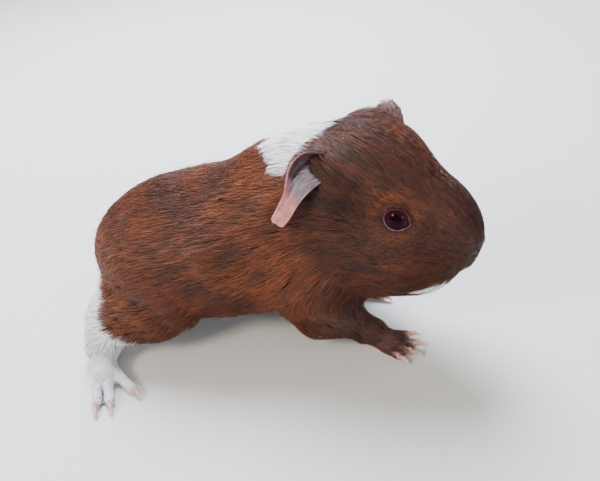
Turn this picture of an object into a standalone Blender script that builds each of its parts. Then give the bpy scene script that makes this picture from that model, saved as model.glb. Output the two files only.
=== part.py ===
"""Guinea pig pup, life size, standing with its head raised: a still model in named solids.

One flesh shape is described as a smooth blend of ellipsoids and tapered limbs, out to the tips of the coat, and
parted with thin cuts into head, neck, trunk, legs and feet. Ears, eyes and claws are solids of their own.
+X is forward, +Y the animal's left, +Z up, and the soles stand on z = 0. Lengths below are millimetres.
"""

import bpy
import numpy as np
from math import cos, radians, sin

MM = 0.001

# ---------------------------------------------------------------- sizes, mm
CUT = 0.36  # gap left between two neighbouring solids

# Trunk: centre (x, y, z), radii (x, y, z), pitch in degrees (nose up)
RUMP = ((-41.5, 0, 29.5), (27, 25.5, 23.5), 0)
LOIN = ((-20, 0, 32), (33, 28.5, 27), 4)
CHEST = ((8, 0, 33), (25, 25, 26), 6)
WITHERS = ((4, -1, 50), (25, 19, 19), 14)
TRUNK_BLEND = 10

# Head: its own frame, x to the nose, y to the left, z up; turned to the animal's right
HEAD_ORIGIN = (40, -8, 50)
HEAD_YAW = -18
CRANIUM = ((-8, 0, 9), (21, 17.5, 19.8), 0)
NAPE = ((-25, 0, 5), (17, 17.5, 18.5), 0)
FACE = ((8.5, 0, -1), (18, 13.6, 15.5), -20)
SNOUT = ((17.5, 0, -8), (9.5, 10, 10.5), -12)
CHEEK = ((-2, 11, -9), (15.5, 9.5, 13.5), 0)
JAW = ((5, 0, -21.5), (14.5, 11, 8.5), 10)
THROAT = ((-8, 0, -21), (13, 15.5, 12), 0)
HEAD_BLEND = 6

# Eyes, in the head frame
EYE_CENTRE = (5.6, 11.6, 4.8)
EYE_RADIUS = 4.4

# Ears, in the head frame with y outwards: a cupped petal along a curve from root through bend to tip, the right
# one drooping back and the left one pricked
EARS = {
    "right": ((-14.5, 14.0, 19.0), (-25.0, 22.5, 20.0), (-28.0, 26.5, 3.0), -1),
    "left": ((-10.0, 14.0, 18.5), (-9.0, 20.5, 25.0), (-17.5, 26.5, 11.0), 1),
}
EAR_OPENS = (0.55, 0.80, 0.10)  # the way the hollow side faces
EAR_HALF_WIDTHS = ((0, 6.5), (0.25, 8.0), (0.5, 5.6), (0.7, 3.6), (0.87, 3.2), (1, 2.8))  # along the petal
EAR_CUP = (80, 40)  # half angle of the cupped section at root and tip, degrees
EAR_SHELL = 1.0

# Legs: joints (x, y, z) with radii, from the body outwards
FORELEG_RIGHT = (((12, -14, 24), 11), ((14, -16, 13.5), 8), ((30, -15.5, 7.5), 4.6))
FORELEG_LEFT = (((12, 14, 24), 11), ((12, 15, 13.5), 8), ((20, 13, 7.5), 4.6))
HINDLEG_RIGHT = (((-43, -14, 27), 15), ((-43, -20, 17), 11.5), ((-57, -23, 14), 9.5), ((-62, -27, 8), 6))
HINDLEG_LEFT = (((-43, 14, 27), 15), ((-37, 19, 17), 11), ((-52, 19, 11), 8), ((-53, 20, 7), 5.5))
LEG_BLEND = 6
# Feet, in their own frame from the ankle: joints with radii, then toes as (start, end) in the floor plane
FOREFOOT = (((0, 0, 6.0), 4.2), ((6, 0, 3.3), 3.7), ((8.5, 0, 2.8), 3.5))
FORE_TOES = (((7.5, 3.0), (12.2, 5.6)), ((9, 1.3), (15.5, 2.4)), ((9, -1.3), (15.8, -1.6)), ((7.5, -3.0), (13, -5.4)))
HINDFOOT = (((0, 0, 5.4), 5.0), ((7, 0, 3.8), 4.3), ((13, 0, 3.1), 4.3))
HIND_TOES = (((12, -3.0), (23, -8.6)), ((14, -0.4), (26, -0.6)), ((13, 2.8), (25.5, 3.9)))
TOE_HEIGHT = (2.3, 1.75)
TOE_RADIUS = (2.1, 1.5)
FOOT_BLEND = 1.6
TOE_BLEND = 0.9
# Ankle (x, y), heading in degrees from +X, bones, toes and side
FEET = {
    "forefoot_right": ((29.5, -15.5), -8, FOREFOOT, FORE_TOES, -1),
    "forefoot_left": ((19, 13), 6, FOREFOOT, FORE_TOES, 1),
    "hindfoot_right": ((-63, -28), -63, HINDFOOT, HIND_TOES, -1),
    "hindfoot_left": ((-53, 20), 8, HINDFOOT, HIND_TOES, 1),
}
# Each leg with the bars that cut it out of the flesh: one from the side through the thigh or shoulder, one down
# the leg
LEGS = {
    "foreleg_right": (
        FORELEG_RIGHT,
        ((((12, -15, 14), 10.5), ((12, -36, 13), 11)), (((14, -16, 12), 10), ((29, -15.5, 7), 8.5))),
    ),
    "foreleg_left": (
        FORELEG_LEFT,
        ((((12, 15, 14), 10.5), ((12, 36, 13), 11)), (((12, 15, 12), 10), ((19, 13, 7), 8.5))),
    ),
    "hindleg_right": (
        HINDLEG_RIGHT,
        ((((-44, -17, 16), 15), ((-44, -40, 15), 16)), (((-57, -22, 14), 14), ((-63, -27, 8), 11))),
    ),
    "hindleg_left": (
        HINDLEG_LEFT,
        ((((-41, 17, 16), 15), ((-41, 40, 15), 16)), (((-51, 19, 13), 13), ((-54, 20, 8), 10.5))),
    ),
}
LEGS_BELOW = 50  # no leg bears on the flesh above this height, and no foot above the next
FEET_BELOW = 20

CLAW_RADII = (0.8, 0.66, 0.42)
CLAW_REACH = {"fore": 2.4, "hind": 2.8}
CLAW_RISE = 0.25  # how far the claws stay above the floor

# Cuts between trunk, neck and head: a point on the cut and the way it faces, forwards
NECK_CUT = ((-8, 0, 62), (0.87, 0, 0.49))  # in the body's frame
HEAD_CUT = ((-24, 0, 20), (0.93, 0, 0.37))  # in the head's frame
ANKLE_CUT = ((1.0, 0, 6.4), (0.5, 0, -0.86))  # in each foot's frame, facing the toes
FOOT_MARGIN = 1.6  # flesh this close round a foot goes with the foot

CRISP = 0.8  # how far vertices beside a cut are drawn onto its edge

# Sampling step and triangles kept for each kind of solid
TRUNK_MESH = (1.2, 1450)
NECK_MESH = (1.0, 650)
HEAD_MESH = (0.8, 2100)
LEG_MESH = (0.8, 360)
FOOT_MESH = (0.42, 560)

# Base colours (linear) of coat and bare parts
COLOURS = {
    "mahogany_coat": (0.125, 0.030, 0.012),
    "white_coat": (0.72, 0.66, 0.60),
    "bare_ear_skin": (0.42, 0.22, 0.20),
    "dark_ruby_eye": (0.030, 0.004, 0.006),
    "pale_claw": (0.50, 0.34, 0.30),
}

# ---------------------------------------------------------------- shapes
def turn(yaw=0, pitch=0):
    """Rotation whose columns are the forward, left and up directions; pitch lifts the nose."""
    a, b = radians(yaw), radians(-pitch)
    about_z = np.array([[cos(a), -sin(a), 0], [sin(a), cos(a), 0], [0, 0, 1]])
    about_y = np.array([[cos(b), 0, sin(b)], [0, 1, 0], [-sin(b), 0, cos(b)]])
    return about_z @ about_y


def ellipsoid(points, form, side=1):
    """Near distance to an ellipsoid given as centre, radii and pitch; side -1 mirrors it across y."""
    centre, radii, pitch = form
    centre = np.array(centre) * (1, side, 1)
    local = (points - centre) @ turn(pitch=pitch)
    k0 = np.linalg.norm(local / radii, axis=1)
    k1 = np.linalg.norm(local / np.square(radii), axis=1)
    return k0 * (k0 - 1) / np.maximum(k1, 1e-9)


def tapered(points, start, start_radius, end, end_radius):
    """Near distance to a round bar that changes radius along its length."""
    start, axis = np.array(start), np.array(end) - np.array(start)
    along = np.clip((points - start) @ axis / (axis @ axis), 0, 1)
    near = start + along[:, None] * axis
    return np.linalg.norm(points - near, axis=1) - (start_radius + (end_radius - start_radius) * along)


def blend(width, *fields):
    """Smooth union of distance fields."""
    total = fields[0]
    for field in fields[1:]:
        share = np.clip(0.5 + 0.5 * (field - total) / width, 0, 1)
        total = field * (1 - share) + total * share - width * share * (1 - share)
    return total


def chain(points, joints, width):
    """Tapered bars through (point, radius) joints, blended over the width."""
    return blend(width, *(tapered(points, *a, *b) for a, b in zip(joints, joints[1:])))


def to_head(points):
    return (np.asarray(points) - HEAD_ORIGIN) @ turn(HEAD_YAW)


def from_head(points):
    return np.asarray(points) @ turn(HEAD_YAW).T + HEAD_ORIGIN


def trunk_field(p):
    return blend(TRUNK_BLEND, *(ellipsoid(p, form) for form in (RUMP, LOIN, CHEST, WITHERS)))


def head_field(p):
    h = to_head(p)
    middle = [ellipsoid(h, form) for form in (CRANIUM, NAPE, FACE, SNOUT, JAW, THROAT)]
    sides = [ellipsoid(h, CHEEK, side) for side in (1, -1)]
    return blend(HEAD_BLEND, *middle, *sides)


def to_foot(p, name):
    (x, y), heading, _, _, side = FEET[name]
    return ((p - (x, y, 0)) @ turn(heading)) * (1, side, 1)


def foot_field(p, name):
    _, _, bones, toes, _ = FEET[name]
    local = to_foot(p, name)
    digits = [
        tapered(local, (*start, TOE_HEIGHT[0]), TOE_RADIUS[0], (*end, TOE_HEIGHT[1]), TOE_RADIUS[1])
        for start, end in toes
    ]
    return blend(FOOT_BLEND, chain(local, bones, 2), blend(TOE_BLEND, *digits))


def flesh(p):
    """The whole animal: trunk and head, the four legs and the four feet."""
    body = blend(TRUNK_BLEND, trunk_field(p), head_field(p))
    low = p[:, 2] < LEGS_BELOW
    legs = [chain(p[low], joints, LEG_BLEND) for joints, _ in LEGS.values()]
    body[low] = blend(LEG_BLEND, body[low], *legs)
    low = p[:, 2] < FEET_BELOW
    body[low] = blend(3, body[low], *(foot_field(p[low], name) for name in FEET))
    return body


def from_foot(points, name):
    (x, y), heading, _, _, side = FEET[name]
    return (np.asarray(points) * (1, side, 1)) @ turn(heading).T + (x, y, 0)


def claw(name, digit, segments=8):
    """A tapering curved claw from the end of a toe forwards and down, ending just above the floor."""
    start, end = np.array(FEET[name][3][digit])
    heading = np.arctan2(*(end - start)[::-1])
    out = TOE_RADIUS[1] + CUT + np.array((0, 0.4, 0.75, 1)) * CLAW_REACH[name[:4]]
    height = TOE_HEIGHT[1] + np.array((0.1, 0.1, -0.4, CLAW_RISE - TOE_HEIGHT[1]))
    angle = 2 * np.pi * np.arange(segments) / segments
    rings = [
        (np.full(segments, x), radius * np.cos(angle), z + radius * np.sin(angle))
        for x, z, radius in zip(out, height, CLAW_RADII)
    ]
    points = np.concatenate([np.stack(ring, 1) for ring in rings] + [[(out[-1], 0, height[-1])]])
    points = points @ turn(np.degrees(heading)).T + (*end, 0)
    index = np.arange(3 * segments).reshape(3, segments)
    after = np.roll(index, -1, 1)
    faces = np.stack([index[:-1], after[:-1], after[1:], index[1:]], -1).reshape(-1, 4).tolist()
    faces += [[int(a), int(b), 3 * segments] for a, b in zip(index[-1], after[-1])]
    faces.append(index[0, ::-1].tolist())
    side = FEET[name][4]
    return from_foot(points, name), faces if side > 0 else [face[::-1] for face in faces]


def eye_centres():
    x, y, z = EYE_CENTRE
    return from_head([(x, y, z), (x, -y, z)])


def slope(field, points, step=0.05):
    """Unit direction in which a field grows."""
    sides = [field(points + axis * step) - field(points - axis * step) for axis in np.eye(3)]
    grown = np.stack(sides, 1)
    return grown / np.maximum(np.linalg.norm(grown, axis=1, keepdims=True), 1e-9)


def ear_shell(place, along=11, across=11):
    """Closed thin shell of one ear, standing a gap off the head where it is rooted."""
    *curve, side = EARS[place]
    root, bend, tip = np.array(curve)
    s, t = np.meshgrid(np.linspace(0, 1, along), np.linspace(-1, 1, across), indexing="ij")
    line = ((1 - s) ** 2)[..., None] * root + (2 * s * (1 - s))[..., None] * bend + (s**2)[..., None] * tip
    run = (2 * (1 - s))[..., None] * (bend - root) + (2 * s)[..., None] * (tip - bend)
    run = run / np.linalg.norm(run, axis=-1, keepdims=True)
    opens = np.array(EAR_OPENS) - (run @ np.array(EAR_OPENS))[..., None] * run
    opens = opens / np.linalg.norm(opens, axis=-1, keepdims=True)
    over = np.cross(run, opens)
    width = np.interp(s, *zip(*EAR_HALF_WIDTHS))
    cup = np.radians(np.interp(s, (0, 1), EAR_CUP))
    radius = width / cup
    sheet = line + (radius * np.sin(cup * t))[..., None] * over + (radius * (1 - np.cos(cup * t)))[..., None] * opens
    sheet = from_head((sheet * (1, side, 1)).reshape(-1, 3))
    clear = CUT + EAR_SHELL / 2
    rooted = np.clip(1 - s / 0.2, 0, 1).ravel()
    for _ in range(6):
        short = clear - flesh(sheet)
        short = np.where(short > 0, short, short * rooted)
        sheet = sheet + short[:, None] * slope(flesh, sheet)
    grid = sheet.reshape(along, across, 3)
    normal = np.cross(np.gradient(grid, axis=0), np.gradient(grid, axis=1)).reshape(-1, 3)
    normal = normal / np.linalg.norm(normal, axis=1, keepdims=True)
    half = EAR_SHELL / 2 * np.where(np.abs(t).ravel() == 1, 0.6, 1)[:, None]
    vertices = np.concatenate([sheet + normal * half, sheet - normal * half])
    n = along * across
    index = np.arange(n).reshape(along, across)
    a, b, c, d = (x.ravel() for x in (index[:-1, :-1], index[1:, :-1], index[1:, 1:], index[:-1, 1:]))
    rim = np.concatenate([index[:, 0], index[-1, 1:], index[-2::-1, -1], index[0, -2::-1]])
    edge = np.stack([rim[:-1], rim[:-1] + n, rim[1:] + n, rim[1:]], 1)
    faces = np.concatenate([np.stack([a, b, c, d], 1), n + np.stack([d, c, b, a], 1), edge])
    return vertices, faces


def ball(centre, radius, rings=8, segments=16):
    """Closed ball of quads and two caps."""
    high = np.pi * (np.arange(rings) + 1) / (rings + 1)
    round_ = 2 * np.pi * np.arange(segments) / segments
    band = np.stack([np.outer(np.sin(high), np.cos(round_)), np.outer(np.sin(high), np.sin(round_))], -1)
    band = np.concatenate([band, np.broadcast_to(np.cos(high)[:, None, None], (rings, segments, 1))], -1)
    vertices = np.concatenate([band.reshape(-1, 3), [(0, 0, 1), (0, 0, -1)]])
    index = np.arange(rings * segments).reshape(rings, segments)
    after = np.roll(index, -1, 1)
    faces = np.stack([index[:-1], index[1:], after[1:], after[:-1]], -1).reshape(-1, 4).tolist()
    top, bottom = len(vertices) - 2, len(vertices) - 1
    faces += [[top, int(i), int(j)] for i, j in zip(index[0], after[0])]
    faces += [[bottom, int(j), int(i)] for i, j in zip(index[-1], after[-1])]
    return vertices * radius + centre, faces


# ---------------------------------------------------------------- meshing
def corners_of(samples, *axes):
    """Views of the samples at every corner of each square or cell that spans the axes."""
    spans = [[slice(None)] * 3]
    for axis in axes:
        end = samples.shape[axis] - 1
        spans = [[*s[:axis], slice(i, end + i), *s[axis + 1 :]] for s in spans for i in (0, 1)]
    return [samples[tuple(span)] for span in spans]


def untangle(inside):
    """Opens the samples that touch only across a diagonal, so that the surface never meets itself."""
    changed = True
    while changed:
        changed = False
        for axes in ((0, 1), (1, 2), (0, 2)):
            a, b, c, d = corners_of(inside, *axes)
            bad = (a == d) & (b == c) & (a != b)
            changed |= bad.any()
            for corner in (a, b, c, d):
                corner &= ~bad
        cell = corners_of(inside, 0, 1, 2)
        count = sum(corner.astype(int) for corner in cell)
        lone = np.logical_or.reduce([(cell[i] == cell[7 - i]) & (cell[i] == (count == 2)) for i in range(4)])
        bad = lone & ((count == 2) | (count == 6))
        changed |= bad.any()
        for corner in cell:
            corner &= ~bad


def surface(field, low, high, step):
    """Closed quads on field = 0 inside the box, one vertex in each crossed cell."""
    low, high = np.array(low, float), np.array(high, float)
    count = np.ceil((high - low) / step).astype(int) + 1
    axes = [low[i] + step * np.arange(count[i]) for i in range(3)]
    points = np.stack(np.meshgrid(*axes, indexing="ij"), -1).reshape(-1, 3)
    value = field(points).reshape(count)
    inside = value < 0
    untangle(inside)
    value[(value < 0) & ~inside] = step / 100
    cells = tuple(count - 1)
    total, hits = np.zeros((*cells, 3)), np.zeros(cells)
    crossings = []
    for axis in range(3):
        first = np.take(value, range(count[axis] - 1), axis)
        last = np.take(value, range(1, count[axis]), axis)
        crossed = (first < 0) != (last < 0)
        where = np.where(crossed, first / np.where(first == last, 1, first - last), 0)
        b, c = (axis + 1) % 3, (axis + 2) % 3
        for i in (0, 1):
            for j in (0, 1):
                part = [slice(None)] * 3
                part[b], part[c] = slice(i, i + cells[b]), slice(j, j + cells[c])
                hit = crossed[tuple(part)]
                total[..., axis] += where[tuple(part)]
                total[..., b] += hit * i
                total[..., c] += hit * j
                hits += hit
        crossings.append((crossed, first < 0))
    used = hits > 0
    index = np.full(cells, -1)
    index[used] = np.arange(used.sum())
    vertices = low + step * (np.argwhere(used) + total[used] / hits[used][:, None])
    faces = []
    for axis, (crossed, leaving) in enumerate(crossings):
        b, c = (axis + 1) % 3, (axis + 2) % 3
        spots = np.argwhere(crossed)
        inner = (spots[:, b] > 0) & (spots[:, c] > 0) & (spots[:, b] < cells[b]) & (spots[:, c] < cells[c])
        spots = spots[inner]
        corners = []
        for i, j in ((-1, -1), (0, -1), (0, 0), (-1, 0)):
            shifted = spots.copy()
            shifted[:, b] += i
            shifted[:, c] += j
            corners.append(index[tuple(shifted.T)])
        quads = np.stack(corners, 1)
        outward = leaving[tuple(spots.T)]
        quads[~outward] = quads[~outward][:, ::-1]
        faces.append(quads)
    return vertices, np.concatenate(faces)


def outside(region):
    """The rest of space round a region, for cutting with `cut`."""
    return lambda p: -region(p)


def cut(step, low, high, *regions):
    """Closed surface of the flesh inside all the regions, each drawn back by half the gap, with crisp edges and
    a flat sole where it meets the floor."""
    walls = [lambda p, region=region: region(p) + CUT / 2 for region in regions]
    vertices, faces = surface(lambda p: np.maximum.reduce([flesh(p), *(w(p) for w in walls)]), low, high, step)
    vertices, faces = largest(vertices, faces)
    for wall in walls:
        edge = (np.abs(flesh(vertices)) < step) & (np.abs(wall(vertices)) < step)
        spots = vertices[edge]
        for _ in range(4 if len(spots) else 0):
            spots = spots - (flesh(spots)[:, None] * slope(flesh, spots)).clip(-step, step)
            spots = spots - (wall(spots)[:, None] * slope(wall, spots)).clip(-step, step)
        vertices[edge] += (spots - vertices[edge]) * CRISP
    vertices[:, 2] = np.maximum(vertices[:, 2], 0)
    return vertices, faces


def plane(point, facing, frame=lambda p: p):
    """The half space in front of a plane."""
    facing = np.array(facing) / np.linalg.norm(facing)
    return lambda p: -((frame(p) - point) @ facing)


def leg_region(name):
    return lambda p: blend(2, *(chain(p, bar, 1) for bar in LEGS[name][1]))


def foot_region(name):
    ankle = plane(*ANKLE_CUT, lambda p: to_foot(p, name))
    return lambda p: np.maximum(foot_field(p, name) - FOOT_MARGIN, ankle(p))


def largest(vertices, faces):
    """Only the biggest connected piece."""
    label = np.arange(len(vertices))
    while True:
        low = label[faces].min(1)
        new = label.copy()
        for corner in range(faces.shape[1]):
            np.minimum.at(new, faces[:, corner], low)
        new = new[new]
        if (new == label).all():
            break
        label = new
    keep = label[faces[:, 0]] == np.bincount(label[faces[:, 0]]).argmax()
    used, inverse = np.unique(faces[keep], return_inverse=True)
    return vertices[used], inverse.reshape(-1, faces.shape[1])


def add(name, vertices, faces, finish, triangles=0):
    """One named object; a triangle count thins the mesh to about that many."""
    mesh = bpy.data.meshes.new(name)
    mesh.from_pydata((vertices * MM).tolist(), [], [list(map(int, face)) for face in faces])
    part = bpy.data.objects.new(name, mesh)
    bpy.context.collection.objects.link(part)
    if triangles:
        thin = part.modifiers.new("thin", "DECIMATE")
        thin.ratio = min(1, triangles / (2 * len(faces)))
        thin.use_collapse_triangulate = True
        part.data = bpy.data.meshes.new_from_object(part.evaluated_get(bpy.context.evaluated_depsgraph_get()))
        part.modifiers.clear()
    part.data.polygons.foreach_set("use_smooth", [True] * len(part.data.polygons))
    part.data.materials.append(FINISHES[finish])
    return part


def add_flesh(name, regions, low, high, mesh, finish):
    step, triangles = mesh
    add(name, *cut(step, low, high, *regions), finish, triangles)


# ---------------------------------------------------------------- build
for old in list(bpy.data.objects):
    bpy.data.objects.remove(old)

FINISHES = {}
for name, colour in COLOURS.items():
    FINISHES[name] = bpy.data.materials.new(name)
    FINISHES[name].use_nodes = True
    shader = FINISHES[name].node_tree.nodes["Principled BSDF"]
    shader.inputs["Base Color"].default_value = (*colour, 1)
    shader.inputs["Roughness"].default_value = 0.15 if name == "dark_ruby_eye" else 0.75

# Feet first, then legs, then what is left of the body
foot_cuts = {name: foot_region(name) for name in FEET}
leg_cuts = {name: leg_region(name) for name in LEGS}
limbs = [outside(region) for region in (*foot_cuts.values(), *leg_cuts.values())]
neck_cut = plane(*NECK_CUT)
head_cut = plane(*HEAD_CUT, to_head)
sockets = [outside(lambda p, c=c: np.linalg.norm(p - c, axis=1) - EYE_RADIUS) for c in eye_centres()]

add_flesh("trunk", [outside(neck_cut), *limbs], (-76, -40, -4), (40, 40, 76), TRUNK_MESH, "mahogany_coat")
add_flesh("neck", [neck_cut, outside(head_cut), *limbs], (-16, -42, 0), (60, 40, 86), NECK_MESH, "white_coat")
add_flesh("head", [head_cut, *sockets], (8, -46, 10), (76, 26, 88), HEAD_MESH, "mahogany_coat")
for name, region in leg_cuts.items():
    coat = "white_coat" if name == "hindleg_right" else "mahogany_coat"
    points = np.array([point for point, _ in LEGS[name][0]])
    feet = [outside(foot) for foot in foot_cuts.values()]
    add_flesh(name, [region, *feet], points.min(0) - 16, points.max(0) + 16, LEG_MESH, coat)
for name, region in foot_cuts.items():
    _, _, _, toes, _ = FEET[name]
    x, y, _ = from_foot([(*toes[1][0], 0)], name)[0]
    coat = "white_coat" if name.startswith("hind") else "mahogany_coat"
    add_flesh(name, [region], (x - 24, y - 24, -4), (x + 24, y + 24, 14), FOOT_MESH, coat)
    for digit in range(len(toes)):
        add(f"claw_{name}_{digit + 1}", *claw(name, digit), "pale_claw")
for place in EARS:
    add(f"ear_{place}", *ear_shell(place), "bare_ear_skin")
for centre, place in zip(eye_centres(), ("left", "right")):
    add(f"eye_{place}", *ball(centre, EYE_RADIUS), "dark_ruby_eye")

# The origin goes under the middle of the animal, on the floor
corners = np.array([vertex.co for part in bpy.data.objects for vertex in part.data.vertices])
middle = (corners.min(0) + corners.max(0)) / 2
for part in bpy.data.objects:
    for vertex in part.data.vertices:
        vertex.co.x -= middle[0]
        vertex.co.y -= middle[1]
        if abs(vertex.co.z) < 0.05 * MM:
            vertex.co.z = 0
    part.data.update()
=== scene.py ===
"""A young smooth-haired guinea pig as a life-size museum model.

The flesh solids are fused into one skin that lies under the coat by the coat's depth. It is sculpted at the
lids, nose, mouth and toes, and short thin tufts lie over it along the lie of the hair. Ears, eyes and claws
are pieces of their own. Lengths are millimetres and turn to metres in a mesh. There are two sets of axes: the
body's, x to the head, y to the left and z up, and the head's, centred between the ears and turned with it.
"""

from itertools import product
from math import pi, radians

import bmesh
import bpy
import numpy as np
from mathutils import Matrix, Vector
from mathutils.bvhtree import BVHTree
from mathutils.kdtree import KDTree


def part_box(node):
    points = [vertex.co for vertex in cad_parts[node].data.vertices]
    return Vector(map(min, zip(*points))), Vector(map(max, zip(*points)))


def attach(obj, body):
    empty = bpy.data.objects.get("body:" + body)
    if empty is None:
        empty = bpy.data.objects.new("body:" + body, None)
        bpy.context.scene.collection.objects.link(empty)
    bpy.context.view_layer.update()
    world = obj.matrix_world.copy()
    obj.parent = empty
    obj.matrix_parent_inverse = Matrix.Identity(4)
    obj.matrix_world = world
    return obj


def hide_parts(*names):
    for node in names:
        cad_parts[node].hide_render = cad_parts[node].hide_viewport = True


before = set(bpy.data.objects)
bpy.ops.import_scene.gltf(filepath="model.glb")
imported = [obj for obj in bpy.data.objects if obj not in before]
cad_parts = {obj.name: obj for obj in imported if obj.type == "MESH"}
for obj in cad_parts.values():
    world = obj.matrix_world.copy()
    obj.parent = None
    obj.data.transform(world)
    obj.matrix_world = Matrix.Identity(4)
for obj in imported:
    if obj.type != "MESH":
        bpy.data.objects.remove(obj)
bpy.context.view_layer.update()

MM = 0.001
RNG = np.random.default_rng(21)

# -------- places taken from the solids
SIDES = {"right": -1, "left": 1}
LEGS = ("foreleg_right", "foreleg_left", "hindleg_right", "hindleg_left")
FEET = ("forefoot_right", "forefoot_left", "hindfoot_right", "hindfoot_left")
FLESH = ("trunk", "neck", "head", *LEGS, *FEET)
CLAWS = sorted(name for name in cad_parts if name.startswith("claw_"))  # claw_FOOT_NUMBER


def far(v):
    """How long each vector is."""
    return np.linalg.norm(v, axis=-1)


def unit(v):
    v = np.asarray(v, float)
    return v / np.maximum(far(v)[..., None], 1e-9)


def flat(way, normal):
    """Directions laid flat on a surface with these normals."""
    return unit(way - (way * normal).sum(1)[:, None] * normal)


def blend(a, b, share):
    return a + (b - a) * share


def ease(x, start, end):
    """Smooth step from 0 at start to 1 at end."""
    t = np.clip((x - start) / (end - start), 0, 1)
    return t * t * (3 - 2 * t)


def fade(x, start, end):
    """Smooth step from 1 at start to 0 at end."""
    return 1 - ease(x, start, end)


def hump(*ratios):
    """1 where every ratio of distance to width is 0, falling smoothly to 0 away from there."""
    return np.exp(-sum(ratio**2 for ratio in ratios))


def corners(node):
    return np.array(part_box(node)) / MM


def middle(node):
    return corners(node).mean(0)


CLAW_ROOTS = np.array([middle(claw) for claw in CLAWS])
FEET_AT = np.array([middle(foot) for foot in FEET])
RUMP_END = -68.5  # the trunk's hind end in the body's axes
BODY_ORIGIN = np.array((corners("trunk")[0, 0] - RUMP_END, middle("trunk")[1], 0))
EYE_MIDDLE = {side: middle(f"eye_{side}") for side in SIDES}
HEAD_LEFT = unit((EYE_MIDDLE["left"] - EYE_MIDDLE["right"]) * (1, 1, 0))
HEAD_AXES = np.array([np.cross(HEAD_LEFT, (0, 0, 1)), HEAD_LEFT, (0, 0, 1)])
EYE_AHEAD, EYE_ABOVE = 5.6, 4.8  # the eyes stand this far before and above the middle of the skull
HEAD_ORIGIN = sum(EYE_MIDDLE.values()) / 2 - np.array((EYE_AHEAD, 0, EYE_ABOVE)) @ HEAD_AXES


def to_body(p):
    return p - BODY_ORIGIN


def to_head(p):
    return (p - HEAD_ORIGIN) @ HEAD_AXES.T


def from_head(p):
    return np.asarray(p) @ HEAD_AXES + HEAD_ORIGIN


def to_claws(p):
    """How far each point is from the nearest claw."""
    return far(p[:, None] - CLAW_ROOTS).min(1)


def to_eyes(p):
    """How far each point is from the middle of the nearest eye."""
    return far(p[:, None] - np.array(list(EYE_MIDDLE.values()))).min(1)


def nearest_foot(p):
    """Which foot is nearest to each point, seen from above."""
    return far(p[:, None, :2] - FEET_AT[:, :2]).argmin(1)


def toe_heading(foot):
    """The way a foot points, from its middle to the middle of its claws."""
    tips = np.mean([middle(claw) for claw in CLAWS if foot in claw], axis=0)
    return unit((tips - middle(foot)) * (1, 1, 0))


def claw_heading(claw):
    """The way a claw points, from its root half to its tip half."""
    points = points_of(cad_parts[claw].data)
    ahead = (points - middle(claw)) @ toe_heading(claw[5:-2]) > 0
    return unit((points[ahead].mean(0) - points[~ahead].mean(0)) * (1, 1, 0))


# -------- the camera comes first
CAMERA_AT = BODY_ORIGIN + (8, -6, 36)
CAMERA_AZIMUTH, CAMERA_ELEVATION, CAMERA_ROLL = 14, 33, 7
CAMERA_DISTANCE = 230
CAMERA_LENS = 41.4


def placed(name, data):
    """A new object in the scene."""
    made = bpy.data.objects.new(name, data)
    bpy.context.scene.collection.objects.link(made)
    return made


def add_camera():
    """The camera stands back from the point it looks at, turned round it, tilted down and rolled."""
    camera = placed("camera", bpy.data.cameras.new("camera"))
    turns = ((CAMERA_AZIMUTH, "Z"), (90 - CAMERA_ELEVATION, "X"), (-CAMERA_ROLL, "Z"))
    azimuth, tilt, roll = (Matrix.Rotation(radians(angle), 4, axis) for angle, axis in turns)
    back = Matrix.Translation((0, 0, CAMERA_DISTANCE * MM))
    camera.matrix_world = Matrix.Translation(CAMERA_AT * MM) @ azimuth @ tilt @ roll @ back
    camera.data.lens = CAMERA_LENS
    camera.data.clip_start = 10 * MM
    bpy.context.scene.camera = camera


# -------- mesh helpers
def mesh_from(name, points, faces):
    """A mesh from points in millimetres."""
    mesh = bpy.data.meshes.new(name)
    mesh.from_pydata((np.asarray(points) * MM).tolist(), [], faces)
    return mesh


def piece(name, mesh, material, replaced=()):
    """One shown piece from a mesh; it rides on the body and may stand for solids."""
    mesh.polygons.foreach_set("use_smooth", np.ones(len(mesh.polygons), bool))
    made = placed(name, mesh)
    mesh.materials.append(material)
    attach(made, "root")
    if replaced:
        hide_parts(*replaced)


def mark(mesh, **values):
    """Stores one number for each vertex under each name."""
    for name, value in values.items():
        mesh.attributes.new(name, "FLOAT", "POINT").data.foreach_set("value", np.asarray(value, np.float32))


def read_rows(items, key, columns, kind=np.int32):
    """One measure of all the items of a mesh, a row for each."""
    values = np.empty(len(items) * columns, kind)
    items.foreach_get(key, values)
    return values.reshape(-1, columns)


def points_of(mesh):
    return read_rows(mesh.vertices, "co", 3, np.float32).astype(float) / MM


def move_points(mesh, points):
    mesh.vertices.foreach_set("co", (points * MM).astype(np.float32).ravel())


def triangles_of(mesh):
    mesh.calc_loop_triangles()
    return read_rows(mesh.loop_triangles, "vertices", 3)


def edges_of(mesh):
    return read_rows(mesh.edges, "vertices", 2)


def parts_of(mesh):
    return points_of(mesh), edges_of(mesh), triangles_of(mesh)


def applied(holder):
    """The mesh of an object with its modifiers applied; the object is removed."""
    mesh = bpy.data.meshes.new_from_object(holder.evaluated_get(bpy.context.evaluated_depsgraph_get()))
    bpy.data.objects.remove(holder)
    return mesh


def spread(edges, values, turns, rate=0.5):
    """Moves each vertex's values towards its neighbours' mean; the rate may differ by vertex."""
    values = np.array(values, float)
    shape, columns = values.shape, values.reshape(len(values), -1)
    a, b = np.concatenate([edges, edges[:, ::-1]]).T
    count = np.maximum(np.bincount(a, minlength=len(values)), 1)[:, None]
    rate = np.broadcast_to(np.asarray(rate, float), (len(values),))[:, None]
    for _ in range(turns):
        sums = np.stack([np.bincount(a, c[b], len(values)) for c in columns.T], 1)
        columns = columns + (sums / count - columns) * rate
    return columns.reshape(shape)


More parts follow.
